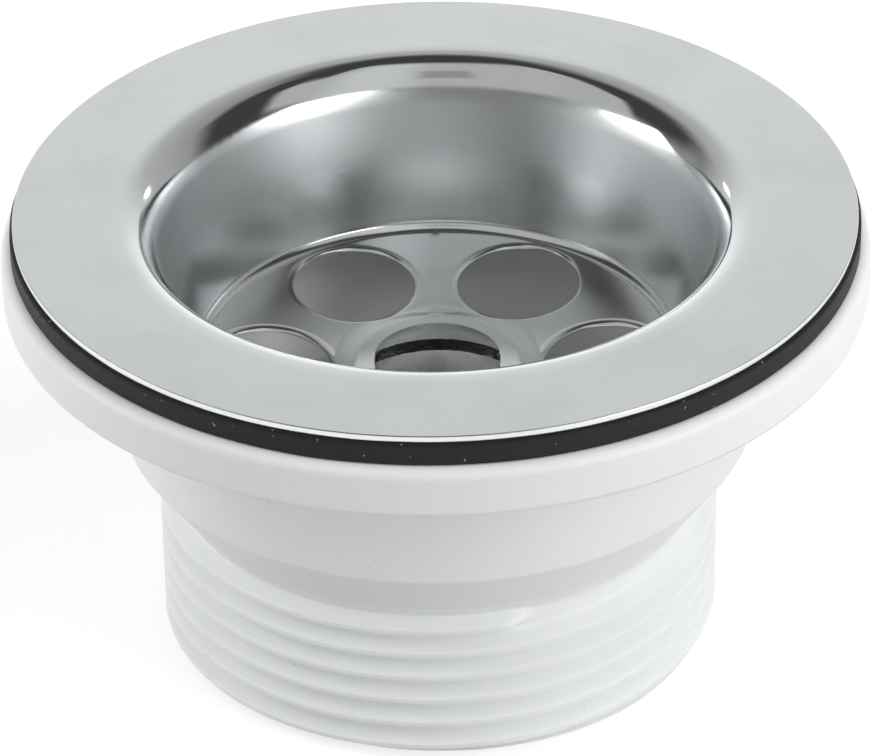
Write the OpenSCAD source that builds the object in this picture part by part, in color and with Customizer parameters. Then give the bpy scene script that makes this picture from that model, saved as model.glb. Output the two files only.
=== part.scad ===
// Bath waste: a pressed steel strainer flange drawn down on a white moulded body by one
// centre screw, with a rubber sealing washer between them.
// The part stands on the end of its threaded tail, with the origin at the centre of that
// end and +Z up. All sizes are in millimetres.

/* [Steel strainer] */
// Diameter of the steel flange
flange_d = 70; // [66:0.5:72]
// Thickness of the steel sheet
sheet_t = 0.6; // [0.5:0.05:0.8]
// Diameter where the flat flange and the cup wall would meet if the lip had no roll
throat_d = 48.9; // [47:0.1:49.2]
// Radius of the rolled lip, on its upper side
lip_r = 2.5; // [1.8:0.1:3]
// Lean of the cup wall from vertical, in degrees
wall_lean = 15.3; // [13:0.1:18]
// Depth of the cup floor at the foot of the wall
cup_depth = 14.7; // [13.5:0.1:15.6]
// Radius between the cup wall and the floor, on the upper side
foot_r = 1.2; // [1:0.1:2.5]
// Fall of the cup floor towards the centre, in degrees
floor_fall = 4.8; // [3:0.1:5.5]
// Diameter of the raised land round the screw
land_d = 14; // [13.4:0.1:14.6]
// Height of that land above the foot of the fall
land_rise = 0.4; // [0.2:0.05:0.6]

/* [Drain holes] */
// Number of drain holes
hole_n = 6; // [4:1:6]
// Diameter of a drain hole
hole_d = 10.4; // [8:0.1:10.6]
// Diameter of the circle that the holes stand on
hole_pcd = 28.4; // [27.6:0.1:29]
// Radius of the edge drawn down round each hole
hole_lip_r = 0.8; // [0.7:0.05:1]

/* [Rubber washer] */
// How far the washer reaches past the rim of the steel flange
washer_overhang = 0.3; // [0:0.1:0.8]
// Gap between the bore of the washer and the start of the rolled lip
washer_gap = 0.3; // [0.2:0.1:2]
// Thickness of the washer
washer_t = 2; // [1.2:0.1:3]

/* [Body] */
// How far the body flange reaches past the rim of the steel flange
body_overhang = 1.1; // [0.8:0.1:3]
// Depth of the body flange
body_flange_h = 4.4; // [3.5:0.1:6]
// Diameter of the neck under the flange
neck_top_d = 54.2; // [53.6:0.1:56]
// Diameter of the neck at its lower corner
neck_foot_d = 53.5; // [53:0.1:54.2]
// Height of the neck
neck_h = 12.6; // [12:0.1:14]
// Height of the cone between the neck and the tail
cone_h = 6.4; // [5.5:0.1:8]
// Height of the threaded tail
tail_h = 13.6; // [12.5:0.1:18]
// Wall of the tail at the thread roots
tail_wall = 2.2; // [1.6:0.1:3.2]
// Wall of the neck at its lower corner
neck_wall = 2.4; // [2:0.1:2.7]
// Inside diameter of the body at the washer face
mouth_d = 49.9; // [49.4:0.1:51]

/* [Tail thread] */
// Diameter over the thread crests
thread_d = 47.8; // [46:0.1:50]
// Depth of the thread
thread_h = 1.5; // [1.2:0.05:1.55]
// Pitch of the thread
pitch = 2.309; // [2.2:0.001:2.6]
// Width of the flat along a crest
crest_w = 0.44; // [0.3:0.02:0.54]
// Angle between a flank and the square-on plane, in degrees
flank_a = 27.5; // [25:0.5:29]
// Height of the first crest's middle below the top of the tail, at the front
first_crest = 0.68; // [0.4:0.02:1]
// Angle at which the first ridge ends, measured from the front towards the right
ridge_end_a = 21; // [0:1:40]
// Chamfer at the end of the tail
tail_chamfer = 1; // [0.6:0.1:1.3]

/* [Spider] */
// Number of webs that carry the centre boss
web_n = 3; // [2:1:3]
// Thickness of a web
web_t = 2.4; // [1.8:0.1:3]
// Height of the underside of the boss above the tail end
spider_z = 7; // [6.5:0.1:8]
// Height of a web where it meets the tail wall
web_h = 7.5; // [5:0.1:8.5]
// Height of the boss
boss_h = 13; // [12:0.1:13.6]
// Diameter of the boss
boss_d = 13; // [12:0.1:14]

/* [Screw and insert] */
// Nominal diameter of the clamp screw
screw_d = 6; // [5:0.1:6]
// Length of the screw from the rim of its head to the tip
screw_l = 20; // [18:0.5:22]
// Diameter of the screw head
head_d = 10.7; // [10:0.1:11.3]
// Height of the head's rim above the land round it
head_proud = 0.3; // [0.25:0.05:0.7]
// Rise of the raised top of the head above its rim
head_rise = 1.25; // [0.9:0.05:1.5]
// Width of the screwdriver slot
slot_w = 1.7; // [1.2:0.1:2]
// Depth of the slot below the top of the head
slot_depth = 2.1; // [1.6:0.1:2.4]
// Diameter of the brass insert
insert_d = 8.4; // [8:0.1:9]
// Length of the brass insert
insert_l = 12; // [10:0.1:12]

/* [Hidden] */
$fn = 96;

// Clearances
thread_gap = 0.05;
screw_hole_gap = 0.3;

// Segments in a drawn arc, and stations in a turn of the thread
arc_n = 8;
turn_n = 36;

// Heights above the end of the tail
cone_z = tail_h;
neck_z = cone_z + cone_h;
body_flange_z = neck_z + neck_h;
washer_z = body_flange_z + body_flange_h;
steel_z = washer_z + washer_t;
top_z = steel_z + sheet_t;

// Diameters of the tail inside its thread
root_d = thread_d - 2 * thread_h;
tail_bore_d = root_d - 2 * tail_wall;

// Cup of the strainer, on its upper side
foot_d = throat_d - 2 * cup_depth * tan(wall_lean);
land_ramp = 1.6;
fall_d = land_d + 2 * land_ramp;
floor_z = top_z - cup_depth;
low_z = floor_z - (foot_d - fall_d) / 2 * tan(floor_fall);
land_z = low_z + land_rise;
hole_z = floor_z - (foot_d - hole_pcd) / 2 * tan(floor_fall);
lip_start_d = throat_d + 2 * lip_r * tan((90 - wall_lean) / 2);

// Diameters that follow the steel flange
washer_d = flange_d + 2 * washer_overhang;
washer_bore_d = lip_start_d + 2 * washer_gap;
body_flange_d = flange_d + 2 * body_overhang;

// Screw and its seat
rim_z = land_z + head_proud;
rim_land = 0.25;
head_cone_h = (head_d - screw_d) / 2;
dome_r = (pow(head_d / 2, 2) + pow(head_rise, 2)) / (2 * head_rise);
seat_d = head_d - 2 * (head_proud - rim_land);
screw_hole_d = screw_d + 2 * screw_hole_gap;
tip_chamfer = 0.6;

// Spider and insert
boss_z = spider_z + boss_h;
web_step = 0.6;
web_z = spider_z + web_step;
insert_z = boss_z - insert_l;
insert_groove = 0.5;

// Bends of the steel sheet round the screw, and the overlap of a drawn edge with the floor
land_bend_r = 1.2;
seat_edge_r = 0.3;
lip_overlap = 0.1;

// Inside of the body
inner_neck_d = neck_foot_d - 2 * neck_wall;
inner_neck_z = neck_z - (neck_wall - tail_wall) * cone_h / ((neck_foot_d - root_d) / 2);

// Thread ridge: how far it reaches into the root, where it starts, its lowest step, its run-out
// and the direction of the front
ridge_root = 0.1;
ridge_start = 0.25;
end_step = 0.02;
run_out_n = 3;
front_a = -90;

// Spider details: rise of a web's top towards the boss, its root in a wall, and the boss's edge
web_rise = 2.5;
web_root = 1;
boss_chamfer = 0.6;
insert_band = insert_l / 6;

// Roundings of the washer and the body
washer_edge_r = 0.3;
flange_top_r = 0.9;
flange_foot_r = 0.6;
neck_fillet = 1;
neck_foot_r = 0.6;
mouth_r = 0.4;
inner_neck_r = 1.5;

// A list in the opposite order
function reversed(list) = [for (i = [len(list) - 1 : -1 : 0]) list[i]];

// Unit vector from a to b
function unit(a, b) = (b - a) / norm(b - a);

// Sign of the turn at b on the way from a to c: 1 to the left, -1 to the right
function turn(a, b, c) = sign((b - a)[0] * (c - b)[1] - (b - a)[1] * (c - b)[0]);

// Corner b of a path from a to c rounded with radius r, as points on the arc
function corner(a, b, c, r) =
    let (
        u = unit(b, a),
        v = unit(b, c),
        half = acos(u * v) / 2,
        mid = unit([0, 0], u + v),
        centre = b + mid * r / sin(half),
        side = turn(a, b, c),
        start = b + u * r / tan(half) - centre,
        sweep = 180 - 2 * half
    )
    [for (i = [0 : arc_n])
        let (t = side * sweep * i / arc_n)
        centre + [start[0] * cos(t) - start[1] * sin(t), start[0] * sin(t) + start[1] * cos(t)]];

// Path through corners, each [x, y, radius], with its inner corners rounded
function rounded(path) = [
    for (i = [0 : len(path) - 1])
        let (p = [path[i][0], path[i][1]], r = path[i][2])
        if (i == 0 || i == len(path) - 1 || r == 0) p
        else each corner(
            [path[i - 1][0], path[i - 1][1]], p, [path[i + 1][0], path[i + 1][1]], r)
];

// Point moved by d to the left of the path where the path turns from a through b to c
function mitre(a, b, c, d) =
    let (
        n1 = [-unit(a, b)[1], unit(a, b)[0]],
        n2 = [-unit(b, c)[1], unit(b, c)[0]]
    )
    b + (n1 + n2) * d / (1 + n1 * n2);

// The same path moved by d to its left, with its radii changed to stay concentric
function beside(path, d) = [
    for (i = [0 : len(path) - 1])
        let (
            p = [path[i][0], path[i][1]],
            a = i == 0 ? undef : [path[i - 1][0], path[i - 1][1]],
            c = i == len(path) - 1 ? undef : [path[i + 1][0], path[i + 1][1]],
            q = i == 0 ? p + [-unit(p, c)[1], unit(p, c)[0]] * d
                : i == len(path) - 1 ? p + [-unit(a, p)[1], unit(a, p)[0]] * d
                : mitre(a, p, c, d),
            side = i == 0 || i == len(path) - 1 ? 0 : turn(a, p, c)
        )
        [q[0], q[1], max(0, path[i][2] - side * d)]
];

// Upper side of the steel sheet from the rim of the flange to the screw hole
steel_path = [
    [flange_d / 2, top_z, 0],
    [throat_d / 2, top_z, lip_r],
    [foot_d / 2, floor_z, foot_r],
    [fall_d / 2, low_z, land_bend_r],
    [land_d / 2, land_z, land_bend_r],
    [seat_d / 2, land_z, seat_edge_r],
    [screw_hole_d / 2, land_z - (seat_d - screw_hole_d) / 2, 0]
];

// Section of the body's shell, from the end of the tail up its outside and down its inside
shell_path = [
    [tail_bore_d / 2, 0, 0],
    [root_d / 2, 0, 0],
    [root_d / 2, cone_z, 0],
    [neck_foot_d / 2, neck_z, neck_foot_r],
    [neck_top_d / 2, body_flange_z, neck_fillet],
    [body_flange_d / 2, body_flange_z, flange_foot_r],
    [body_flange_d / 2, washer_z, flange_top_r],
    [mouth_d / 2, washer_z, mouth_r],
    [inner_neck_d / 2, inner_neck_z, inner_neck_r],
    [tail_bore_d / 2, cone_z, 0]
];

// Outline of the brass insert, with two grooves that key it into the boss
insert_outline = [
    [0, insert_z],
    [insert_d / 2, insert_z],
    [insert_d / 2, insert_z + insert_band],
    [insert_d / 2 - insert_groove, insert_z + insert_band],
    [insert_d / 2 - insert_groove, insert_z + 2 * insert_band],
    [insert_d / 2, insert_z + 2 * insert_band],
    [insert_d / 2, insert_z + 3 * insert_band],
    [insert_d / 2 - insert_groove, insert_z + 3 * insert_band],
    [insert_d / 2 - insert_groove, insert_z + 4 * insert_band],
    [insert_d / 2, insert_z + 4 * insert_band],
    [insert_d / 2, boss_z],
    [0, boss_z]
];

// Section of the thread ridge as [distance from the axis, height], from inside the root outwards
ridge_section = [
    [root_d / 2 - ridge_root, -crest_w / 2 - (thread_h + ridge_root) * tan(flank_a)],
    [thread_d / 2, -crest_w / 2],
    [thread_d / 2, crest_w / 2],
    [root_d / 2 - ridge_root, crest_w / 2 + (thread_h + ridge_root) * tan(flank_a)]
];

// Half the height of the ridge where it leaves the root
ridge_half = crest_w / 2 + thread_h * tan(flank_a);

// A point of the ridge kept above the tail's end and inside its chamfer
function above_end(r, z) =
    let (h = max(z, end_step))
    [min(r, thread_d / 2 - tail_chamfer + h), h];

// Right-hand ridge that climbs from the end of the tail and sinks into the root at its top
module thread_ridge() {
    climb = cone_z - first_crest + pitch * ridge_end_a / 360 + ridge_half - ridge_start;
    steps = floor(climb / pitch * turn_n);
    points = [
        for (i = [0 : steps])
            let (
                back = (steps - i) * 360 / turn_n,
                a = front_a + ridge_end_a - back,
                z = cone_z - first_crest + pitch * (ridge_end_a - back) / 360,
                sink = (thread_h + ridge_root / 2) * max(0, 1 - (steps - i) / run_out_n)
            )
            for (p = ridge_section)
                let (q = above_end(p[0] - sink, z + p[1]))
                [q[0] * cos(a), q[0] * sin(a), q[1]]
    ];
    sides = [
        for (i = [0 : steps - 1])
            for (j = [0 : 3])
                let (k = (j + 1) % 4)
                each [
                    [4 * i + j, 4 * i + k, 4 * i + 4 + k],
                    [4 * i + j, 4 * i + 4 + k, 4 * i + 4 + j]
                ]
    ];
    ends = [[3, 2, 1, 0], [4 * steps, 4 * steps + 1, 4 * steps + 2, 4 * steps + 3]];
    polyhedron(points = points, faces = concat(sides, ends), convexity = 10);
}

// Edge of a drain hole, drawn down through a quarter turn and ended square
module hole_lip() {
    rotate_extrude()
        translate([hole_d / 2 + hole_lip_r, -hole_lip_r])
            intersection() {
                difference() {
                    circle(r = hole_lip_r);
                    circle(r = hole_lip_r - sheet_t);
                }
                translate([-hole_lip_r, 0])
                    square(hole_lip_r);
            }
}

// Places its children at each drain hole, square to the sloping floor
module at_holes() {
    for (i = [0 : hole_n - 1])
        rotate([0, 0, i * 360 / hole_n])
            translate([hole_pcd / 2, 0, hole_z])
                rotate([0, -floor_fall, 0])
                    children();
}

// Webs from the boss into the wall of the tail
module webs() {
    for (i = [0 : web_n - 1])
        rotate([0, 0, 90 + i * 360 / web_n])
            translate([0, web_t / 2, 0])
                rotate([90, 0, 0])
                    linear_extrude(web_t)
                        polygon([
                            [boss_d / 2 - web_root, web_z],
                            [tail_bore_d / 2 + web_root, web_z],
                            [tail_bore_d / 2 + web_root, web_z + web_h],
                            [boss_d / 2, web_z + web_h + web_rise],
                            [boss_d / 2 - web_root, web_z + web_h + web_rise]
                        ]);
}

// Boss at the middle of the webs, with its upper edge chamfered
module boss() {
    rotate_extrude()
        polygon([
            [0, spider_z],
            [boss_d / 2, spider_z],
            [boss_d / 2, boss_z - boss_chamfer],
            [boss_d / 2 - boss_chamfer, boss_z],
            [0, boss_z]
        ]);
}

module strainer_flange() {
    color("silver") {
        difference() {
            rotate_extrude()
                polygon(concat(
                    rounded(steel_path),
                    reversed(rounded(beside(steel_path, sheet_t)))
                ));
            at_holes()
                cylinder(h = 4 * sheet_t, d = hole_d + 2 * hole_lip_r - lip_overlap, center = true);
        }
        at_holes()
            hole_lip();
    }
}

module rubber_washer() {
    color("#2b2b2c")
        rotate_extrude()
            polygon(rounded([
                [washer_bore_d / 2, washer_z, 0],
                [washer_d / 2, washer_z, washer_edge_r],
                [washer_d / 2, steel_z, washer_edge_r],
                [washer_bore_d / 2, steel_z, 0]
            ]));
}

module waste_body() {
    color("white") {
        difference() {
            union() {
                rotate_extrude()
                    polygon(rounded(shell_path));
                thread_ridge();
                boss();
                webs();
            }
            rotate_extrude()
                polygon(insert_outline);
            translate([0, 0, spider_z - 1])
                cylinder(h = boss_h, d = screw_hole_d);
        }
    }
}

module threaded_insert() {
    color("#c9a44a")
        difference() {
            rotate_extrude()
                polygon(insert_outline);
            translate([0, 0, insert_z - 1])
                cylinder(h = insert_l + 2, d = screw_d + 2 * thread_gap);
        }
}

module clamp_screw() {
    color("#b9bcbd")
        difference() {
            rotate_extrude() {
                polygon([
                    [0, rim_z - screw_l],
                    [screw_d / 2 - tip_chamfer, rim_z - screw_l],
                    [screw_d / 2, rim_z - screw_l + tip_chamfer],
                    [screw_d / 2, rim_z - rim_land - head_cone_h],
                    [head_d / 2, rim_z - rim_land],
                    [head_d / 2, rim_z],
                    [0, rim_z]
                ]);
                intersection() {
                    translate([0, rim_z + head_rise - dome_r])
                        circle(r = dome_r);
                    translate([0, rim_z - rim_land])
                        square([head_d / 2, head_rise + rim_land]);
                }
            }
            translate([-head_d, -slot_w / 2, rim_z + head_rise - slot_depth])
                cube([2 * head_d, slot_w, slot_depth + 1]);
        }
}

strainer_flange();
rubber_washer();
waste_body();
threaded_insert();
clamp_screw();
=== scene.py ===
"""Dresses a bath waste: a pressed steel strainer, its clamp screw, a rubber washer and a moulded body.

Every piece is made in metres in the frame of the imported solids, which stand on the lower end of the
threaded tail with +Z up. Profiles are written in millimetres, as (radius, height, bend) corners.
"""

import math
import random

import bmesh
import bpy
from mathutils import Matrix, Vector, noise


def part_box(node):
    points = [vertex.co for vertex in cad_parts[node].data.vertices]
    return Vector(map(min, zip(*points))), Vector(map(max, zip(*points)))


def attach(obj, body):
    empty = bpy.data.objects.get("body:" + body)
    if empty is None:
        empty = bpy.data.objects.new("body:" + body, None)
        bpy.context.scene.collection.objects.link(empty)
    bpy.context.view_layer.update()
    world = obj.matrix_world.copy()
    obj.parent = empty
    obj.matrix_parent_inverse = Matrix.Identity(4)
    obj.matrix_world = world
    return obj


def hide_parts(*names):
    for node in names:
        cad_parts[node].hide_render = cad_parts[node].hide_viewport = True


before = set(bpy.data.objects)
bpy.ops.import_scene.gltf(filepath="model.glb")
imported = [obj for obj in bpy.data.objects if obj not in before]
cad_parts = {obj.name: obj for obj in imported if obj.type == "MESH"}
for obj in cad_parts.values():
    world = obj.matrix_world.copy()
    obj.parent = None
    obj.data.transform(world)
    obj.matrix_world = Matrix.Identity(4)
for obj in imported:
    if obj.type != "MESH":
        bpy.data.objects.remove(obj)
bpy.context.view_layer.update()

bl_info = {
    "name": "Bath Waste",
    "version": (1, 0, 0),
    "blender": (4, 5, 0),
    "location": "View3D > Sidebar > Bath Waste",
    "description": "Makes the dressed pieces of a bath waste and the light that they stand in",
    "category": "Add Mesh",
}

MM = 0.001
FULL_TURN = 2 * math.pi
AXIS = (0, 0, 1)
CENTRE = (0, 0, 0)
WELD = 1e-6
BEND_STEP = math.radians(9)
ROW_BESIDE_BEND = 0.12 * MM


def length(name, description, default):
    """A size of a piece, given in millimetres."""
    return bpy.props.FloatProperty(
        name=name, description=description, default=default * MM, min=0, unit="LENGTH", precision=5
    )


def angle(name, description, default):
    """An angle, given in degrees."""
    return bpy.props.FloatProperty(
        name=name, description=description, default=math.radians(default), subtype="ANGLE"
    )


def colour(name, description, default):
    """A plain colour of a finish."""
    return bpy.props.FloatVectorProperty(
        name=name, description=description, default=default, size=3, min=0, max=1, subtype="COLOR"
    )


def count(name, description, default):
    """A number of like things."""
    return bpy.props.IntProperty(name=name, description=description, default=default, min=1)


def factor(name, description, default):
    """A plain number."""
    return bpy.props.FloatProperty(name=name, description=description, default=default)


class StrainerSizes(bpy.types.PropertyGroup):
    """Sizes and finish of the pressed steel strainer"""

    sheet: length("Sheet", "Thickness of the steel sheet", 0.6)
    lip_r: length("Lip", "Radius of the corner between the flange and the rolled lip", 25.264)
    lip_bend: length("Lip bend", "Bend of the upper half of the rolled lip", 2.5)
    throat_r: length("Throat", "Radius of the corner between the lip and the cup wall", 23.425)
    throat_depth: length("Throat depth", "Depth of that corner below the flange", 1.94)
    throat_bend: length("Throat bend", "Bend of the lower half of the rolled lip", 5.5)
    dish_r: length("Dish edge", "Radius at which the flange starts to dip towards the lip", 26.9)
    dish_fall: length("Dish depth", "How far the flange dips before the lip", 0.067)
    dish_bend: length("Dish bend", "Bend between the flat flange and its dip", 16)
    foot_r: length("Foot", "Radius of the corner between wall and floor", 20.43)
    foot_bend: length("Foot bend", "Bend between the cup wall and its floor", 1.05)
    cup_depth: length("Depth", "Depth of the floor at the foot of the wall", 14.7)
    floor_fall: angle("Fall", "Slope of the floor towards the centre", 4.8)
    land_r: length("Land", "Radius of the raised land round the screw", 7)
    land_ramp: length("Ramp", "Width of the slope up to that land", 1.6)
    land_rise: length("Rise", "Height of that land above the floor beside it", 0.4)
    seat_r: length("Seat", "Radius at which the countersink starts", 5.3)
    screw_hole_r: length("Screw hole", "Radius of the hole for the screw", 3.3)
    hole_n: count("Holes", "Number of drain holes", 6)
    hole_r: length("Hole", "Radius of a drain hole", 5.2)
    hole_circle_r: length("Hole circle", "Radius of the circle that the holes stand on", 14.2)
    hole_bend: length("Hole bend", "Radius of the edge drawn down round each hole", 0.9)
    hole_turn: angle("Hole turn", "How far that edge is drawn down", 45)
    steel: colour("Steel", "Colour of the satin steel", (0.81, 0.824, 0.828))


class WasherSizes(bpy.types.PropertyGroup):
    """Sizes and finish of the rubber washer"""

    inner_r: length("Inside", "Inner radius of the washer", 26.66)
    edge_bend: length("Edge", "Rounding of the outer edges", 0.3)
    rubber: colour("Rubber", "Colour of the rubber", (0.013, 0.013, 0.014))


class BodySizes(bpy.types.PropertyGroup):
    """Sizes and finish of the moulded body"""

    neck_top_r: length("Neck top", "Radius of the neck under the flange", 27.1)
    neck_foot_r: length("Neck foot", "Radius of the neck at its lower corner", 26.75)
    neck_z: length("Neck height", "Height of that corner", 20)
    tail_z: length("Tail", "Height of the threaded tail", 13.6)
    flange_z: length("Flange height", "Height of the underside of the flange", 32.6)
    bore_r: length("Bore", "Radius of the bore of the tail", 20.2)
    mouth_r: length("Mouth", "Inner radius at the washer face", 24.95)
    inner_neck_r: length("Inner neck", "Inner radius at the foot of the neck", 24.35)
    inner_neck_z: length("Inner foot", "Height of the foot of the inner neck", 19.71)
    root_r: length("Thread root", "Radius at the roots of the thread", 22.4)
    crest_r: length("Thread crest", "Radius at the crests of the thread", 23.9)
    pitch: length("Pitch", "Pitch of the thread", 2.309)
    crest_flat: length("Crest flat", "Flat along a crest", 0.44)
    flank: angle("Flank", "Angle between a flank and the square-on plane", 27.5)
    first_crest: length("First crest", "Height of the first crest at the front", 12.92)
    ridge_end: angle("Ridge end", "Where the first ridge ends, from the front to the right", 21)
    chamfer: length("Chamfer", "Chamfer at the end of the tail", 1)
    boss_r: length("Boss", "Radius of the centre boss", 6.5)
    boss_low: length("Boss foot", "Height of the underside of the boss", 7)
    boss_top: length("Boss top", "Height of the top of the boss", 20)
    web_low: length("Web foot", "Height of the underside of a web", 7.6)
    web_outer: length("Web at the wall", "Height of the top of a web at the tail wall", 15.1)
    web_inner: length("Web at the boss", "Height of the top of a web at the boss", 17.6)
    web: length("Web", "Thickness of a web", 2.4)
    web_n: count("Webs", "Number of webs", 3)
    plastic: colour("Plastic", "Colour of the white plastic", (0.86, 0.87, 0.875))


class FixingSizes(bpy.types.PropertyGroup):
    """Sizes and finish of the clamp screw and of the insert that takes it"""

    head_r: length("Head", "Radius of the screw head", 5.35)
    rim_z: length("Rim", "Height of the rim of the head", 24.61)
    rim_land: length("Rim land", "Height of the upright band of the rim", 0.25)
    dome: length("Dome", "Rise of the domed top above the rim", 1.25)
    shank_r: length("Shank", "Radius over the screw thread", 3)
    shank_core_r: length("Core", "Radius at the roots of the screw thread", 2.45)
    shank_pitch: length("Screw pitch", "Pitch of the screw thread", 1)
    tip_z: length("Tip", "Height of the tip of the screw", 4.61)
    slot: length("Slot", "Width of the screwdriver slot", 1.75)
    slot_depth: length("Slot depth", "Depth of the slot below the top of the dome", 2.1)
    insert_r: length("Insert", "Radius of the brass insert", 4.2)
    insert_low: length("Insert foot", "Height of the lower end of the insert", 8)
    screw_steel: colour("Screw steel", "Colour of the screw", (0.43, 0.44, 0.44))
    brass: colour("Brass", "Colour of the insert", (0.72, 0.53, 0.25))


class StageSizes(bpy.types.PropertyGroup):
    """The camera, the light and the floor"""

    camera_lift: angle("Camera lift", "Height of the camera above the flange, as an angle", 30.85)
    camera_distance: length("Camera distance", "From the middle of the flange to the camera", 427.9)
    camera_drop: angle("Camera drop", "How far below the middle of the flange the camera aims", 1.93)
    camera_side: angle("Camera side", "How far to the side of the flange the camera aims", 0.03)
    camera_roll: angle("Camera roll", "Turn of the camera about its own line of sight", -0.91)
    lens: factor("Lens", "Focal length in millimetres on a sensor 36 mm wide", 213.67)
    floor_colour: colour("Floor", "Colour of the floor", (0.5, 0.5, 0.5))


class BathWaste(bpy.types.PropertyGroup):
    """All settings of the bath waste"""

    strainer: bpy.props.PointerProperty(type=StrainerSizes)
    washer: bpy.props.PointerProperty(type=WasherSizes)
    body: bpy.props.PointerProperty(type=BodySizes)
    fixing: bpy.props.PointerProperty(type=FixingSizes)
    stage: bpy.props.PointerProperty(type=StageSizes)


class Signal:
    """A shader output that Python's operators work on."""

    def __init__(self, finish, socket):
        self.finish = finish
        self.socket = socket

    def maths(self, operation, *values):
        return self.finish.node("ShaderNodeMath", {"operation": operation}, dict(enumerate(values)))

    def __add__(self, other):
        return self.maths("ADD", self, other)

    def __radd__(self, other):
        return self.maths("ADD", other, self)

    def __sub__(self, other):
        return self.maths("SUBTRACT", self, other)

    def __rsub__(self, other):
        return self.maths("SUBTRACT", other, self)

    def __mul__(self, other):
        return self.maths("MULTIPLY", self, other)

    def __rmul__(self, other):
        return self.maths("MULTIPLY", other, self)

    def __truediv__(self, other):
        return self.maths("DIVIDE", self, other)

    def call(self, operation, *others):
        """A Math node's operation on this value, such as SINE."""
        return self.maths(operation, self, *others)

    def rise(self, low, high):
        """0 below low, 1 above high, and a smooth step between them; falls if high is the lower one."""
        settings = {"interpolation_type": "SMOOTHSTEP"}
        if low < high:
            return self.finish.node(
                "ShaderNodeMapRange", settings, {"Value": self, "From Min": low, "From Max": high}
            )
        return 1 - self.rise(high, low)


class Finish:
    """The node tree of a material or of the world."""

    def __init__(self, tree):
        self.tree = tree
        self.tree.nodes.clear()

    def node(self, kind, settings=None, sockets=None, out=0):
        """Adds a node, sets it up, then fills or links its sockets, and gives its output."""
        made = self.tree.nodes.new(kind)
        for key, value in (settings or {}).items():
            if key == "stops":
                self.set_stops(made.color_ramp, value)
            else:
                setattr(made, key, value)
        for key, value in (sockets or {}).items():
            self.fill(made.inputs[key], value)
        return Signal(self, made.outputs[out]) if made.outputs else None

    def fill(self, socket, value):
        if isinstance(value, Signal):
            self.tree.links.new(value.socket, socket)
        elif isinstance(value, tuple) and len(value) == 3 and len(socket.default_value) == 4:
            socket.default_value = (*value, 1)
        else:
            socket.default_value = value

    def set_stops(self, ramp, stops):
        while len(ramp.elements) < len(stops):
            ramp.elements.new(1)
        for element, (position, shade) in zip(ramp.elements, stops):
            element.position = position
            element.color = (*shade, 1)

    def place(self):
        """Object coordinates, in metres."""
        return self.node("ShaderNodeTexCoord", out="Object")

    def parts(self, vector):
        """The three numbers of a vector."""
        split = self.node("ShaderNodeSeparateXYZ", sockets={"Vector": vector}).socket.node
        return [Signal(self, output) for output in split.outputs]

    def grain(self, scale, detail=3.0, roughness=0.6, at=None, out="Factor"):
        """A noise with so many features in a metre."""
        names = {"Factor": 0, "Color": 1}
        return self.node(
            "ShaderNodeTexNoise",
            {"noise_dimensions": "3D"},
            {
                "Vector": at or self.place(),
                "Scale": scale,
                "Detail": detail,
                "Roughness": roughness,
            },
            out=names[out],
        )

    def blend(self, share, first, second):
        """A mix of two colours."""
        return self.node(
            "ShaderNodeMix", {"data_type": "RGBA"}, {0: share, 6: first, 7: second}, out=2
        )

    def bump(self, height, distance, strength=1.0, under=None):
        """A normal from a height between 0 and 1, where 1 stands distance metres proud."""
        sockets = {"Height": height, "Distance": distance, "Strength": strength}
        if under:
            sockets["Normal"] = under
        return self.node("ShaderNodeBump", sockets=sockets)


def finish_of(name, sockets, build):
    """A material on a Principled shader: sockets are its constants and build gives what varies."""
    material = bpy.data.materials.new(name)
    material.use_nodes = True
    finish = Finish(material.node_tree)
    varied = build(finish)
    shader = finish.node("ShaderNodeBsdfPrincipled", sockets={**sockets, **varied})
    finish.node("ShaderNodeOutputMaterial", sockets={"Surface": shader})
    return material


def satin_steel(shade, top):
    """Pressed sheet: satin flange, polished lip, a grained satin wall and a smoother floor."""

    def build(finish):
        place = finish.place()
        x, y, z = finish.parts(place)
        out = (x * x + y * y).call("SQRT")
        flange = out.rise(26.4 * MM, 28 * MM)
        lip = (z + finish.grain(1500, 1) * 0.2 * MM).rise(top - 2.7 * MM, top - 1.7 * MM)
        floor = z.rise(top - 13.4 * MM, top - 14 * MM)
        wall = (1 - lip) * (1 - floor)
        satin = wall * z.rise(top - 10.5 * MM, top - 6 * MM)
        grain = finish.grain(5200, 2)
        cloud = finish.grain(120, 4, 0.55)
        smear = finish.grain(38, 2, 0.5)
        dull = cloud.rise(0.42, 0.72)
        tone = finish.blend(dull * 0.12, shade, tuple(0.62 * c for c in shade))
        rough = 0.07 + wall * 0.12 + satin * 0.16 + flange * 0.14 + floor * 0.07
        skin = finish.bump(grain, 0.000004, wall * 0.6 + flange * 0.5 + 0.1)
        return {
            "Base Color": tone,
            "Roughness": rough + dull * 0.03 + smear.rise(0.45, 0.7) * 0.03,
            "Normal": finish.bump(cloud, 0.00001, 1.0, skin),
        }

    return finish_of("satin_steel", {"Metallic": 1.0}, build)


def white_plastic(shade):
    """Moulded white plastic with a soft skin, a little depth and a few dark specks."""

    def build(finish):
        skin = finish.grain(900, 3)
        patch = finish.grain(70, 3)
        speck = finish.grain(1500, 1).rise(0.775, 0.8)
        tone = finish.blend(patch.rise(0.35, 0.75) * 0.25, shade, tuple(0.95 * c for c in shade))
        return {
            "Base Color": finish.blend(speck * 0.25, tone, (0.35, 0.35, 0.34)),
            "Roughness": 0.3 + patch * 0.1 + skin * 0.06,
            "Normal": finish.bump(skin, 0.00001, 1.0),
        }

    constants = {
        "Subsurface Weight": 0.05,
        "Subsurface Radius": (1.0, 1.0, 0.9),
        "Subsurface Scale": 0.0008,
        "Specular IOR Level": 0.45,
    }
    return finish_of("white_plastic", constants, build)


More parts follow.
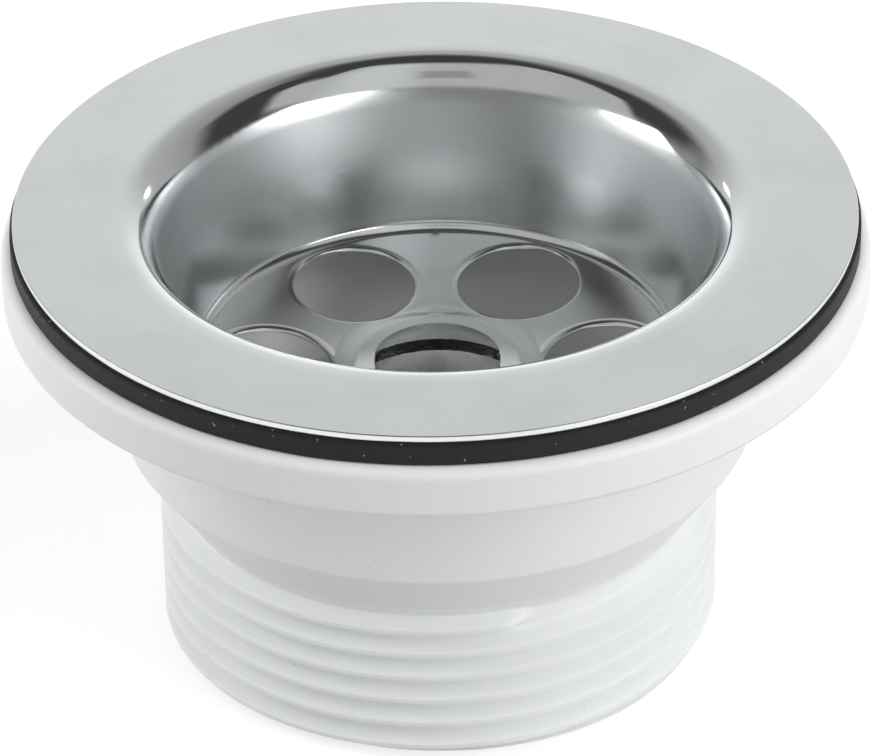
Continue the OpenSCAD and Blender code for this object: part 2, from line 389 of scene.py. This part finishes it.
def black_rubber(shade):
    """Matt rubber with a fine skin and pale dust."""

    def build(finish):
        skin = finish.grain(2400, 3)
        dust = finish.grain(2600, 1).rise(0.74, 0.78)
        return {
            "Base Color": finish.blend(dust * 0.6, shade, (0.42, 0.43, 0.44)),
            "Roughness": 0.5 + skin * 0.2,
            "Normal": finish.bump(skin, 0.00003, 1.0),
        }

    return finish_of("black_rubber", {"Specular IOR Level": 0.28}, build)


def turned_metal(name, shade, ring, rough):
    """Metal turned on a lathe, with fine rings about the axis and a ragged grain."""

    def build(finish):
        x, y, z = finish.parts(finish.place())
        out = (x * x + y * y).call("SQRT")
        rings = (out * (FULL_TURN / ring)).call("SINE") * 0.5 + 0.5
        grain = finish.grain(3000, 3)
        stain = finish.grain(420, 3).rise(0.4, 0.7)
        return {
            "Base Color": finish.blend(stain * 0.5, shade, tuple(0.7 * c for c in shade)),
            "Roughness": rough + grain * 0.12 + stain * 0.06,
            "Normal": finish.bump(rings * 0.5 + grain * 0.5, 0.000012, 1.0),
        }

    return finish_of(name, {"Metallic": 1.0}, build)


def course(corners):
    """Legs of a path through (radius, height, bend) corners, as (length, start, heading, turn)."""
    points = [Vector(corner[:2]) for corner in corners]
    legs = []
    at = points[0]
    for i in range(1, len(points)):
        heading = (points[i] - at).normalized()
        cut = turn = 0
        if i < len(points) - 1 and corners[i][2]:
            onward = (points[i + 1] - points[i]).normalized()
            turn = math.atan2(heading.cross(onward), heading.dot(onward))
            cut = corners[i][2] * math.tan(abs(turn) / 2)
        legs.append(((points[i] - at).length - cut, at, heading, 0))
        at = points[i]
        if cut:
            legs.append((corners[i][2] * abs(turn), points[i] - heading * cut, heading, turn))
            at = points[i] + onward * cut
    return legs


def walk(legs, distance):
    """The point and the heading so far along a path."""
    for leg in legs:
        if distance <= leg[0] or leg is legs[-1]:
            break
        distance -= leg[0]
    span, start, heading, turn = leg
    side = Vector((-heading.y, heading.x))
    if not turn:
        return start + heading * distance, heading
    bend = turn * distance / span
    radius = span / turn
    point = start + heading * (radius * math.sin(bend)) + side * (radius * (1 - math.cos(bend)))
    return point, heading * math.cos(bend) + side * math.sin(bend)


def rows_along(legs, long_step=None):
    """Distances that get a row of vertices: leg ends, a row beside each bend, and rows round bends."""
    rows = [0]
    start = 0
    for span, _, _, turn in legs:
        if turn:
            steps = max(2, math.ceil(abs(turn) / BEND_STEP))
            inner = [span * k / steps for k in range(1, steps)]
        else:
            beside = min(ROW_BESIDE_BEND, span / 3)
            inner = [beside]
            if long_step:
                steps = math.ceil(span / long_step)
                inner += [span * k / steps for k in range(1, steps)]
            inner.append(span - beside)
        rows += [start + d for d in inner] + [start + span]
        start += span
    return rows


def add_wire(bm, points):
    """A chain of edges through points."""
    verts = [bm.verts.new(point) for point in points]
    return verts + [bm.edges.new(pair) for pair in zip(verts, verts[1:])]


def lathe(bm, corners, steps, long_step=None):
    """Spins the path through corners into a full turn."""
    legs = course(corners)
    points = [walk(legs, row)[0] for row in rows_along(legs, long_step)]
    wire = add_wire(bm, [(p.x, 0, p.y) for p in points])
    bmesh.ops.spin(
        bm, geom=wire, cent=CENTRE, axis=AXIS, angle=FULL_TURN, steps=steps, use_merge=True
    )


def tidy(bm, weld=WELD):
    """Merges what coincides and turns the faces outwards."""
    bmesh.ops.remove_doubles(bm, verts=bm.verts[:], dist=weld)
    bmesh.ops.dissolve_degenerate(bm, dist=weld / 10, edges=bm.edges[:])
    bmesh.ops.recalc_face_normals(bm, faces=bm.faces[:])


def object_from(bm, name):
    """A linked object that holds the mesh, and the end of the bmesh."""
    mesh = bpy.data.meshes.new(name)
    bm.to_mesh(mesh)
    bm.free()
    made = bpy.data.objects.new(name, mesh)
    bpy.context.scene.collection.objects.link(made)
    return made


def check_closed(piece):
    """Stops the script if the piece's mesh has a gap."""
    bm = bmesh.new()
    bm.from_mesh(piece.data)
    open_edges = sum(not e.is_manifold for e in bm.edges)
    volume = bm.calc_volume(signed=True)
    bm.free()
    if open_edges or volume <= 0:
        raise RuntimeError(f"{piece.name}: {open_edges} open edges, volume {volume:.3g}")


def dress(piece, node, material, sharp=35):
    """Shades a finished piece, gives it its material and puts it in the place of its solid."""
    check_closed(piece)
    piece.data.shade_smooth()
    piece.data.set_sharp_from_angle(angle=math.radians(sharp))
    piece.data.materials.clear()
    piece.data.materials.append(material)
    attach(piece, "root")
    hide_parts(node)


def combine(piece, tool, operation):
    """Joins a tool to a piece or cuts it out, and removes the tool."""
    change = piece.modifiers.new("change", "BOOLEAN")
    change.solver = "MANIFOLD"
    change.operation = operation
    change.object = tool
    shape = piece.evaluated_get(bpy.context.evaluated_depsgraph_get())
    mesh = bpy.data.meshes.new_from_object(shape)
    piece.modifiers.clear()
    piece.data = mesh
    bpy.data.objects.remove(tool)


def ridged_tube(bm, low, high, pitch, rows_per_turn, steps, radius_at):
    """A tube whose rows climb a pitch in a turn, with its radius from radius_at(angle, height)."""
    rise = pitch / rows_per_turn
    rows = math.ceil((high - low) / rise) + 2 * rows_per_turn
    start = low - pitch - rise / 2
    wire = add_wire(bm, [(1, 0, start + rise * row) for row in range(rows)])
    bmesh.ops.spin(
        bm,
        geom=wire,
        cent=CENTRE,
        axis=AXIS,
        dvec=(0, 0, pitch / steps),
        angle=FULL_TURN,
        steps=steps,
        use_merge=False,
    )
    bmesh.ops.remove_doubles(bm, verts=bm.verts[:], dist=WELD)
    for vert in bm.verts:
        turn = math.atan2(vert.co.y, vert.co.x)
        out = radius_at(turn, vert.co.z)
        vert.co.x = out * math.cos(turn)
        vert.co.y = out * math.sin(turn)
    for height, side in ((low, -1), (high, 1)):
        bmesh.ops.bisect_plane(
            bm,
            geom=bm.verts[:] + bm.edges[:] + bm.faces[:],
            dist=WELD,
            plane_co=(0, 0, height),
            plane_no=(0, 0, side),
            clear_outer=True,
        )


def rim_at(bm, height, inside=None, outside=None):
    """The open edges at a height, within a range of radius."""
    found = []
    for edge in bm.edges:
        if edge.is_boundary and all(abs(v.co.z - height) < WELD for v in edge.verts):
            out = edge.verts[0].co.xy.length
            if (inside is None or out > inside) and (outside is None or out < outside):
                found.append(edge)
    return found


def ease(value, low, high):
    """0 below low, 1 above high, smooth between."""
    share = min(1, max(0, (value - low) / (high - low)))
    return share * share * (3 - 2 * share)


def drained_sector(bm, sizes, inner, outer, ring_steps, side_steps):
    """One sector of the flat blank with its hole, and the hole's edge drawn down."""
    half = math.pi / sizes.hole_n
    wire = add_wire(bm, [(inner + (outer - inner) * k / side_steps, 0, 0) for k in range(side_steps + 1)])
    verts = [item for item in wire if isinstance(item, bmesh.types.BMVert)]
    bmesh.ops.rotate(bm, verts=verts, cent=CENTRE, matrix=Matrix.Rotation(-half, 3, "Z"))
    bmesh.ops.spin(bm, geom=wire, cent=CENTRE, axis=AXIS, angle=2 * half, steps=ring_steps)
    bmesh.ops.delete(bm, geom=bm.faces[:], context="FACES_KEEP_BOUNDARY")
    border = bm.edges[:]
    centre = Vector((sizes.hole_circle_r, 0, 0))
    reach = sizes.hole_r + sizes.hole_bend * math.sin(sizes.hole_turn)
    made = bmesh.ops.extrude_edge_only(bm, edges=border)["geom"]
    loop = [item for item in made if isinstance(item, bmesh.types.BMEdge)]
    for vert in {v for edge in loop for v in edge.verts}:
        vert.co = centre + (vert.co - centre).normalized() * reach
    ends = set(border) | set(loop)
    bmesh.ops.subdivide_edges(
        bm, edges=[e for e in bm.edges if e not in ends], cuts=17, use_grid_fill=True
    )
    lip_steps = 5
    for k in range(1, lip_steps + 1):
        bend = sizes.hole_turn * k / lip_steps
        made = bmesh.ops.extrude_edge_only(bm, edges=loop)["geom"]
        loop = [item for item in made if isinstance(item, bmesh.types.BMEdge)]
        for vert in {v for edge in loop for v in edge.verts}:
            flat = Vector((vert.co.x, vert.co.y, 0)) - centre
            vert.co = centre + flat.normalized() * (reach - sizes.hole_bend * math.sin(bend))
            vert.co.z = -sizes.hole_bend * (1 - math.cos(bend))


def strainer_mesh(sizes, top):
    """The strainer, laid out as a flat drilled blank and pressed along its own profile."""
    floor_z = top - sizes.cup_depth
    fall_r = sizes.land_r + sizes.land_ramp
    low_z = floor_z - (sizes.foot_r - fall_r) * math.tan(sizes.floor_fall)
    land_z = low_z + sizes.land_rise
    rim_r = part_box("strainer_flange")[1].x
    legs = course([
        (sizes.screw_hole_r, land_z - (sizes.seat_r - sizes.screw_hole_r), 0),
        (sizes.seat_r, land_z, 0.3 * MM),
        (sizes.land_r, land_z, 2 * MM),
        (fall_r, low_z, 2 * MM),
        (sizes.foot_r, floor_z, sizes.foot_bend),
        (sizes.throat_r, top - sizes.throat_depth, sizes.throat_bend),
        (sizes.lip_r, top - sizes.dish_fall, sizes.lip_bend),
        (sizes.dish_r, top, sizes.dish_bend),
        (rim_r, top, 0),
    ])
    floor_leg = 6
    before = sum(leg[0] for leg in legs[:floor_leg])
    to_hole = before + (sizes.hole_circle_r - legs[floor_leg][1].x) / legs[floor_leg][2].x
    blank = sizes.hole_circle_r - to_hole
    inner = blank + sum(leg[0] for leg in legs[:3]) - 0.15 * MM
    outer = sizes.hole_circle_r + sizes.hole_r + sizes.hole_bend * math.sin(sizes.hole_turn) + 0.1 * MM
    ring_steps, side_steps = 44, 22
    bm = bmesh.new()
    drained_sector(bm, sizes, inner, outer, ring_steps, side_steps)
    bmesh.ops.spin(
        bm,
        geom=bm.verts[:] + bm.edges[:] + bm.faces[:],
        cent=CENTRE,
        axis=AXIS,
        angle=FULL_TURN * (1 - 1 / sizes.hole_n),
        steps=sizes.hole_n - 1,
        use_duplicate=True,
    )
    rows = [blank + row for row in rows_along(legs, 1.5 * MM)]
    for part in (
        [row for row in rows if row < inner] + [inner],
        [outer] + [row for row in rows if row > outer],
    ):
        wire = add_wire(bm, [(row, 0, 0) for row in part])
        bmesh.ops.spin(
            bm,
            geom=wire,
            cent=CENTRE,
            axis=AXIS,
            angle=FULL_TURN,
            steps=ring_steps * sizes.hole_n,
            use_merge=True,
        )
    tidy(bm)
    if sum(face.normal.z for face in bm.faces) < 0:
        bmesh.ops.reverse_faces(bm, faces=bm.faces[:])
    to_foot_bend = blank + sum(leg[0] for leg in legs[: floor_leg + 1])
    for vert in bm.verts:
        turn = math.atan2(vert.co.y, vert.co.x)
        out = vert.co.xy.length
        drawn = vert.co.z * (1 - ease(out, to_foot_bend - 0.55 * MM, to_foot_bend + 0.15 * MM))
        point, heading = walk(legs, out - blank)
        point = point + Vector((-heading.y, heading.x)) * drawn
        vert.co = Vector((point.x * math.cos(turn), point.x * math.sin(turn), point.y))
    bm.normal_update()
    bmesh.ops.solidify(bm, geom=bm.faces[:], thickness=sizes.sheet)
    return bm


def soften_rims(bm, width, segments=2, past=60):
    """Bevels the edges that turn by more than an angle."""
    bm.normal_update()
    sharp = [e for e in bm.edges if e.is_manifold and e.calc_face_angle(0) > math.radians(past)]
    bmesh.ops.bevel(
        bm,
        geom=sharp,
        offset=width,
        offset_type="OFFSET",
        affect="EDGES",
        segments=segments,
        profile=0.5,
        material=-1,
    )


class BATHWASTE_OT_strainer(bpy.types.Operator):
    """Make the pressed steel strainer"""

    bl_idname = "bathwaste.strainer"
    bl_label = "Steel Strainer"

    def execute(self, context):
        sizes = context.scene.bath_waste.strainer
        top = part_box("strainer_flange")[1].z
        bm = strainer_mesh(sizes, top)
        soften_rims(bm, 0.1 * MM)
        bmesh.ops.recalc_face_normals(bm, faces=bm.faces[:])
        piece = object_from(bm, "steel_strainer")
        dress(piece, "strainer_flange", satin_steel(tuple(sizes.steel), top))
        return {"FINISHED"}


class BATHWASTE_OT_washer(bpy.types.Operator):
    """Make the rubber washer"""

    bl_idname = "bathwaste.washer"
    bl_label = "Rubber Washer"

    def execute(self, context):
        sizes = context.scene.bath_waste.washer
        low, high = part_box("rubber_washer")
        bm = bmesh.new()
        lathe(
            bm,
            [
                (sizes.inner_r, low.z, 0),
                (high.x, low.z, sizes.edge_bend),
                (high.x, high.z, sizes.edge_bend),
                (sizes.inner_r, high.z, 0),
                (sizes.inner_r, low.z, 0),
            ],
            288,
        )
        tidy(bm)
        for vert in bm.verts:
            if vert.co.xy.length > high.x - 1.5 * MM:
                wave = noise.noise(vert.co * 260) * 0.04 * MM - 0.04 * MM
                vert.co.xy *= 1 + wave / high.x
        piece = object_from(bm, "washer_of_rubber")
        dress(piece, "rubber_washer", black_rubber(tuple(sizes.rubber)))
        return {"FINISHED"}


def tail_radius(sizes):
    """The outside of the tail and cone as a function of angle and height."""
    front = -math.pi / 2
    depth = sizes.crest_r - sizes.root_r
    crest_half = sizes.crest_flat / 2
    flank_run = depth * math.tan(sizes.flank)
    cone_slope = (sizes.neck_foot_r - sizes.root_r) / (sizes.neck_z - sizes.tail_z)
    fade = math.radians(9)
    parting = math.radians(213)
    step = math.radians(0.5)
    fillet = 0.12 * MM

    def radius_at(turn, height):
        angle_from_front = (turn - front + math.pi) % FULL_TURN - math.pi
        climb = (height - sizes.first_crest) / sizes.pitch
        ridge = round(climb - angle_from_front / FULL_TURN)
        along = angle_from_front + FULL_TURN * ridge
        away = abs(climb - along / FULL_TURN) * sizes.pitch
        share = min(1, max(0, 1 - (away - crest_half) / flank_run))
        share = 0.7 * share + 0.3 * ease(share, 0, 1)
        share *= 1 - ease(along, sizes.ridge_end - fade, sizes.ridge_end)
        past_parting = (turn - parting + math.pi) % FULL_TURN - math.pi
        proud = 1 - ease(past_parting, -step, step) if abs(past_parting) < 1.5 else 0
        ridge_r = sizes.root_r + depth * share - 0.15 * MM * share * (1 - proud)
        cone_r = sizes.root_r + (height - sizes.tail_z) * cone_slope
        gap = (ridge_r - cone_r) / fillet
        if gap > 4:
            out = ridge_r
        elif gap < -4:
            out = cone_r
        else:
            out = cone_r + fillet * math.log(1 + math.exp(gap))
        return min(out, sizes.crest_r - sizes.chamfer + max(0, height))

    return radius_at


def spider(sizes):
    """The boss and webs, as one object for each solid."""
    solids = []
    bm = bmesh.new()
    lathe(
        bm,
        [
            (0, sizes.boss_low, 0),
            (sizes.boss_r, sizes.boss_low, 0.2 * MM),
            (sizes.boss_r, sizes.boss_top, 0.6 * MM),
            (0, sizes.boss_top, 0),
        ],
        96,
    )
    tidy(bm)
    solids.append(object_from(bm, "boss"))
    for k in range(sizes.web_n):
        bm = bmesh.new()
        inner, outer = sizes.boss_r - MM, sizes.bore_r + MM
        corners = [
            (inner, sizes.web_low),
            (outer, sizes.web_low),
            (outer, sizes.web_outer),
            (sizes.boss_r, sizes.web_inner),
            (inner, sizes.web_inner),
        ]
        verts = [bm.verts.new((x, -sizes.web / 2, z)) for x, z in corners]
        side = bm.faces.new(verts)
        made = bmesh.ops.extrude_face_region(bm, geom=[side])["geom"]
        moved = [v for v in made if isinstance(v, bmesh.types.BMVert)]
        bmesh.ops.translate(bm, verts=moved, vec=(0, sizes.web, 0))
        bmesh.ops.recalc_face_normals(bm, faces=bm.faces[:])
        soften_rims(bm, 0.25 * MM, 3, 20)
        turn = math.pi / 2 + FULL_TURN * k / sizes.web_n
        bmesh.ops.rotate(bm, verts=bm.verts[:], cent=CENTRE, matrix=Matrix.Rotation(turn, 3, "Z"))
        solids.append(object_from(bm, f"web_{k}"))
    return solids


class BATHWASTE_OT_body(bpy.types.Operator):
    """Make the moulded body with its threaded tail"""

    bl_idname = "bathwaste.body"
    bl_label = "Moulded Body"

    def execute(self, context):
        sizes = context.scene.bath_waste.body
        fixing = context.scene.bath_waste.fixing
        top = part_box("waste_body")[1].z
        flange_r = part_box("waste_body")[1].x
        cut_z = sizes.tail_z + 1.2 * MM
        slope = (sizes.neck_foot_r - sizes.root_r) / (sizes.neck_z - sizes.tail_z)
        steps = 384
        bm = bmesh.new()
        ridged_tube(bm, 0, cut_z, sizes.pitch, 18, steps, tail_radius(sizes))
        lathe(
            bm,
            [
                (sizes.root_r + (cut_z - sizes.tail_z) * slope, cut_z + 0.1 * MM, 0),
                (sizes.neck_foot_r, sizes.neck_z, 0.6 * MM),
                (sizes.neck_top_r, sizes.flange_z, 1 * MM),
                (flange_r, sizes.flange_z, 0.6 * MM),
                (flange_r, top, 0.9 * MM),
                (sizes.mouth_r, top, 0.4 * MM),
                (sizes.inner_neck_r, sizes.inner_neck_z, 1.5 * MM),
                (sizes.bore_r, sizes.tail_z, 0),
                (sizes.bore_r, 0, 0),
            ],
            steps,
        )
        bmesh.ops.remove_doubles(bm, verts=bm.verts[:], dist=WELD)
        lower = rim_at(bm, cut_z)
        upper = rim_at(bm, cut_z + 0.1 * MM)
        bmesh.ops.bridge_loops(bm, edges=lower + upper)
        bmesh.ops.bridge_loops(bm, edges=rim_at(bm, 0))
        tidy(bm)
        piece = object_from(bm, "moulded_body")
        for solid in spider(sizes):
            combine(piece, solid, "UNION")
        hollow = bmesh.new()
        lathe(
            hollow,
            [
                (0, sizes.boss_low - MM, 0),
                (3.3 * MM, sizes.boss_low - MM, 0),
                (3.3 * MM, fixing.insert_low, 0),
                (fixing.insert_r, fixing.insert_low, 0),
                (fixing.insert_r, sizes.boss_top + MM, 0),
                (0, sizes.boss_top + MM, 0),
            ],
            64,
        )
        tidy(hollow)
        combine(piece, object_from(hollow, "hollow"), "DIFFERENCE")
        dress(piece, "waste_body", white_plastic(tuple(sizes.plastic)))
        return {"FINISHED"}


class BATHWASTE_OT_insert(bpy.types.Operator):
    """Make the brass insert"""

    bl_idname = "bathwaste.insert"
    bl_label = "Brass Insert"

    def execute(self, context):
        sizes = context.scene.bath_waste.fixing
        low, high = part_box("threaded_insert")
        bore = sizes.shank_r + 0.05 * MM
        bm = bmesh.new()
        lathe(
            bm,
            [
                (bore + 0.3 * MM, low.z, 0),
                (sizes.insert_r, low.z, 0),
                (sizes.insert_r, high.z, 0),
                (bore + 0.3 * MM, high.z, 0),
                (bore, high.z - 0.3 * MM, 0),
                (bore, low.z + 0.3 * MM, 0),
                (bore + 0.3 * MM, low.z, 0),
            ],
            96,
        )
        tidy(bm)
        piece = object_from(bm, "brass_insert")
        material = turned_metal("turned_brass", tuple(sizes.brass), 0.25 * MM, 0.22)
        dress(piece, "threaded_insert", material)
        return {"FINISHED"}


def shank_radius(sizes, root_z):
    """The outside of the screw's shank as a function of angle and height."""

    def radius_at(turn, height):
        phase = (height / sizes.shank_pitch - turn / FULL_TURN) % 1
        share = ease(abs(phase - 0.5) * 2, 0.15, 0.9)
        share *= 1 - ease(height, root_z - 1.5 * MM, root_z - 0.3 * MM)
        out = sizes.shank_core_r + (sizes.shank_r - sizes.shank_core_r) * share
        return min(out, sizes.shank_r - 0.8 * MM + (height - sizes.tip_z))

    return radius_at


class BATHWASTE_OT_screw(bpy.types.Operator):
    """Make the clamp screw"""

    bl_idname = "bathwaste.screw"
    bl_label = "Clamp Screw"

    def execute(self, context):
        sizes = context.scene.bath_waste.fixing
        under_z = sizes.rim_z - sizes.rim_land
        cone_z = under_z - (sizes.head_r - sizes.shank_core_r)
        steps = 96
        bm = bmesh.new()
        ridged_tube(
            bm, sizes.tip_z, cone_z - 0.4 * MM, sizes.shank_pitch, 14, steps, shank_radius(sizes, cone_z)
        )
        crown_r = (sizes.head_r**2 + sizes.dome**2) / (2 * sizes.dome)
        span = math.asin(sizes.head_r / crown_r)
        dome = [
            (crown_r * math.sin(a), sizes.rim_z + sizes.dome - crown_r * (1 - math.cos(a)), 0)
            for a in [span * k / 12 for k in range(11, -1, -1)]
        ]
        lathe(
            bm,
            [
                (sizes.shank_core_r, cone_z, 0),
                (sizes.head_r, under_z, 0.06 * MM),
                (sizes.head_r, sizes.rim_z, 0.12 * MM),
                *dome,
            ],
            steps,
        )
        bmesh.ops.remove_doubles(bm, verts=bm.verts[:], dist=WELD)
        top_rim = rim_at(bm, cone_z - 0.4 * MM)
        bmesh.ops.bridge_loops(bm, edges=top_rim + rim_at(bm, cone_z))
        bmesh.ops.contextual_create(bm, geom=rim_at(bm, sizes.tip_z))
        tidy(bm)
        piece = object_from(bm, "slotted_screw")
        floor_z = sizes.rim_z + sizes.dome - sizes.slot_depth
        slot = bmesh.new()
        height = sizes.slot_depth + MM
        size = (2.4 * sizes.head_r, sizes.slot, height)
        bmesh.ops.create_cube(slot, size=1)
        bmesh.ops.scale(slot, vec=size, verts=slot.verts[:])
        bmesh.ops.translate(slot, vec=(0, 0, floor_z + height / 2), verts=slot.verts[:])
        bmesh.ops.subdivide_edges(slot, edges=slot.edges[:], cuts=40, use_grid_fill=True)
        for vert in slot.verts:
            if abs(vert.co.y) > sizes.slot / 2 - WELD:
                wave = noise.noise(vert.co * 1900) + 0.6 * noise.noise(vert.co * 5200)
                vert.co.y += 0.07 * MM * wave
        combine(piece, object_from(slot, "slot"), "DIFFERENCE")
        material = turned_metal("turned_steel", tuple(sizes.screw_steel), 0.22 * MM, 0.2)
        dress(piece, "clamp_screw", material, 25)
        return {"FINISHED"}


def heading_to(bearing, lift):
    """The unit vector of a direction, given as angles from +X and from the level, in degrees."""
    a, e = math.radians(bearing), math.radians(lift)
    return Vector((math.cos(a) * math.cos(e), math.sin(a) * math.cos(e), math.sin(e)))


def studio_world(world):
    """A soft panel behind, one high up in front, and two bright low ones at the sides of the front."""
    world.use_nodes = True
    finish = Finish(world.node_tree)
    x, y, z = finish.parts(finish.node("ShaderNodeTexCoord", out="Generated"))
    degrees = 180 / math.pi
    lift = z.call("ARCSINE") * degrees
    bearing = y.call("ARCTAN2", x) * degrees
    front_bearing = (0 - y).call("ARCTAN2", x) * degrees
    left_bearing = (0 - y).call("ARCTAN2", 0 - x) * degrees

    off_centre = y.call("ARCCOSINE") * degrees
    tail_level = (0.8 - off_centre * 0.0065).call("MAXIMUM", 0)
    back_level = (1.42 - off_centre * 0.02).call("MAXIMUM", tail_level)
    back = bearing.rise(5, 20) * bearing.rise(160, 132) * lift.rise(74, 58)

    low_side = front_bearing.rise(30, 37)
    wide_side = front_bearing.rise(15, 22)
    high = lift.rise(12, 30) * lift.rise(64, 50)
    front = (low_side + (wide_side - low_side) * high) * front_bearing.rise(179, 174) * lift.rise(80, 70)
    hump = front_bearing.rise(34, 58) * front_bearing.rise(92, 70)
    opening = front_bearing.rise(80, 88) * front_bearing.rise(112, 104) * lift.rise(38, 43) * lift.rise(53, 49)
    belt = lift.rise(29, 18)
    front_level = (0.5 + hump * 0.16 - opening * 0.2) * (1 - belt) + 0.11 * belt

    right_slant = front_bearing - lift * 1.2
    left_slant = left_bearing - lift * 0.5
    right_box = right_slant.rise(3, 7) * right_slant.rise(44, 38) * lift.rise(24, 20)
    left_box = left_slant.rise(-19, -16) * left_slant.rise(12, 8) * lift.rise(21, 17)
    right_skirt = front_bearing.rise(84, 56) * front_bearing.rise(30, 50)
    left_skirt = left_bearing.rise(52, 16) * left_bearing.rise(-10, 10)
    low_level = (right_box + left_box) * 4.5 + (right_skirt + left_skirt) * belt * 0.5

    left_foot = bearing.rise(144, 156) * lift.rise(24, 6) * 0.25
    level = 0.06 + back * back_level + front * front_level + low_level + left_foot
    for spot_bearing, spot_lift, width in ((48, 8, 2.0), (128, 9, 3.0)):
        toward = heading_to(spot_bearing, spot_lift)
        facing = x * toward.x + y * toward.y + z * toward.z
        edge = math.cos(math.radians(width + 0.6))
        level = level + facing.rise(edge, math.cos(math.radians(width))) * 3
    light = finish.node("ShaderNodeBackground", sockets={"Color": (0.98, 0.99, 1.0), "Strength": level * 0.88})
    finish.node("ShaderNodeOutputWorld", sockets={"Surface": light})


def add_lamp(name, bearing, lift, distance, size, power):
    """An area lamp in a direction, aimed at the middle of the waste, that doesn't show in the metal."""
    lamp = bpy.data.lights.new(name, "AREA")
    lamp.shape = "RECTANGLE"
    lamp.size, lamp.size_y = size
    lamp.energy = power
    holder = bpy.data.objects.new(name, lamp)
    away = heading_to(bearing, lift)
    holder.location = Vector((0, 0, 0.039)) + away * distance
    holder.rotation_mode = "QUATERNION"
    holder.rotation_quaternion = away.to_track_quat("Z", "Y")
    holder.visible_glossy = False
    bpy.context.scene.collection.objects.link(holder)


def floor_finish(shade):
    """A pale floor that reads as white outside the shadow, to the camera and in metal."""
    material = bpy.data.materials.new("pale_floor")
    material.use_nodes = True
    finish = Finish(material.node_tree)
    matt = finish.node("ShaderNodeBsdfDiffuse", sockets={"Color": shade})
    glow = finish.node("ShaderNodeEmission", sockets={"Color": (1, 1, 1), "Strength": 0.64})
    seen = [
        finish.node("ShaderNodeLightPath", out=ray)
        for ray in ("Is Camera Ray", "Is Glossy Ray", "Is Transmission Ray")
    ]
    share = (seen[0] + seen[1] + seen[2]).call("MINIMUM", 1)
    lifted = finish.node("ShaderNodeAddShader", sockets={0: matt, 1: glow})
    both = finish.node("ShaderNodeMixShader", sockets={0: share, 1: matt, 2: lifted})
    finish.node("ShaderNodeOutputMaterial", sockets={"Surface": both})
    return material


class BATHWASTE_OT_stage(bpy.types.Operator):
    """Make the floor, the light and the camera"""

    bl_idname = "bathwaste.stage"
    bl_label = "Stage"

    def execute(self, context):
        stage = context.scene.bath_waste.stage
        bm = bmesh.new()
        bmesh.ops.create_grid(bm, x_segments=1, y_segments=1, size=3)
        floor = object_from(bm, "floor")
        floor.data.materials.append(floor_finish(tuple(stage.floor_colour)))
        world = bpy.data.worlds.new("studio")
        context.scene.world = world
        studio_world(world)
        add_lamp("left_side", 170, 28, 1.0, (0.7, 0.5), 3.9)
        add_lamp("right_side", 332, 28, 1.0, (0.7, 0.5), 3.0)
        add_lamp("high_right", 350, 55, 1.0, (0.4, 0.4), 2.0)
        self.add_camera(context.scene, stage)
        context.scene.view_settings.view_transform = "Standard"
        return {"FINISHED"}

    def add_camera(self, scene, stage):
        """Aims from the flange's own level, then drops, swings and rolls the camera a little."""
        data = bpy.data.cameras.new("camera")
        data.sensor_width = 36
        data.lens = stage.lens
        data.clip_start = 0.05
        data.clip_end = 20
        camera = bpy.data.objects.new("camera", data)
        lift = stage.camera_lift
        target = Vector((0, 0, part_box("strainer_flange")[1].z))
        back = Vector((0, -math.cos(lift), math.sin(lift)))
        right = Vector((1, 0, 0))
        up = back.cross(right)
        swing = Matrix.Rotation(stage.camera_side, 3, up)
        camera.location = target + back * stage.camera_distance
        back, right = swing @ back, swing @ right
        tip = Matrix.Rotation(-stage.camera_drop, 3, right)
        back, up = tip @ back, tip @ up
        roll = Matrix.Rotation(stage.camera_roll, 3, back)
        right, up = roll @ right, roll @ up
        camera.rotation_mode = "QUATERNION"
        camera.rotation_quaternion = Matrix((right, up, back)).transposed().to_quaternion()
        scene.collection.objects.link(camera)
        scene.camera = camera


STEPS = (
    BATHWASTE_OT_stage,
    BATHWASTE_OT_strainer,
    BATHWASTE_OT_washer,
    BATHWASTE_OT_body,
    BATHWASTE_OT_insert,
    BATHWASTE_OT_screw,
)


class BATHWASTE_PT_panel(bpy.types.Panel):
    """Lists the pieces of the bath waste"""

    bl_idname = "BATHWASTE_PT_panel"
    bl_label = "Bath Waste"
    bl_space_type = "VIEW_3D"
    bl_region_type = "UI"
    bl_category = "Bath Waste"

    def draw(self, context):
        for step in STEPS:
            self.layout.operator(step.bl_idname)


CLASSES = (
    StrainerSizes,
    WasherSizes,
    BodySizes,
    FixingSizes,
    StageSizes,
    BathWaste,
    *STEPS,
    BATHWASTE_PT_panel,
)


def register():
    for item in CLASSES:
        bpy.utils.register_class(item)
    bpy.types.Scene.bath_waste = bpy.props.PointerProperty(type=BathWaste)


def unregister():
    del bpy.types.Scene.bath_waste
    for item in reversed(CLASSES):
        bpy.utils.unregister_class(item)


def main():
    register()
    bpy.ops.bathwaste.stage()
    bpy.ops.bathwaste.strainer()
    bpy.ops.bathwaste.washer()
    bpy.ops.bathwaste.body()
    bpy.ops.bathwaste.insert()
    bpy.ops.bathwaste.screw()


if __name__ == "__main__":
    main()
